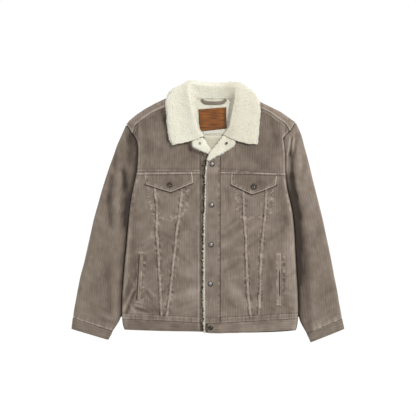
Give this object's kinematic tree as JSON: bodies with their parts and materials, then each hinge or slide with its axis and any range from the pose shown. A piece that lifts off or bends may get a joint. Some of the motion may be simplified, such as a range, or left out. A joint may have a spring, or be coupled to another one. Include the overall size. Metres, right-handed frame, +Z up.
{
  "type": "sherpa lined jacket",
  "caption": "Trucker jacket in ribbed corduroy, lined with sherpa that shows at the collar, the turned front edges and the neck, snapped shut and laid flat on its back.",
  "frame": {"origin": "centre of the bounding box in plan, on the surface that the jacket lies on", "axes": "+X towards the wearer's left, across the shoulders and sleeves; +Y from the hem to the collar; +Z up from the surface, out of the jacket's front"},
  "size_m": [0.766, 0.734, 0.04],
  "materials": {
    "corduroy": "fine-waled cotton corduroy, matt, taupe",
    "sherpa": "nubby sherpa pile, cream",
    "leather": "smooth tan leather, bare",
    "tape": "woven cotton tape, beige",
    "label": "white woven label, bare",
    "snap": "dark antique steel"
  },
  "bodies": {
    "root": {"back_yoke": "corduroy", "back_panel": "corduroy", "waistband_back": "corduroy", "neck_lining": "sherpa", "leather_patch": "leather", "care_label": "label", "hanger_loop": "tape", "front_side_right": "corduroy", "front_middle_right": "corduroy", "front_centre_right": "corduroy", "front_centre_left": "corduroy", "front_middle_left": "corduroy", "front_side_left": "corduroy", "yoke_right": "corduroy", "yoke_left": "corduroy", "shoulder_strip_right": "corduroy", "shoulder_strip_left": "corduroy", "placket_right": "corduroy", "placket_left": "corduroy", "front_edge_pile": "sherpa", "waistband_right": "corduroy", "waistband_left": "corduroy", "collar": "sherpa", "revers_right": "sherpa", "revers_left": "sherpa", "pocket_flap_right": "corduroy", "pocket_flap_left": "corduroy", "pocket_welt_right": "corduroy", "pocket_welt_left": "corduroy", "sleeve_right": "corduroy", "sleeve_left": "corduroy", "cuff_right": "corduroy", "cuff_left": "corduroy", "placket_snap_1": "snap", "placket_snap_2": "snap", "placket_snap_3": "snap", "placket_snap_4": "snap", "placket_snap_5": "snap", "flap_snap_right": "snap", "flap_snap_left": "snap", "revers_snap_right": "snap", "revers_snap_left": "snap"}
  },
  "joints": []
}
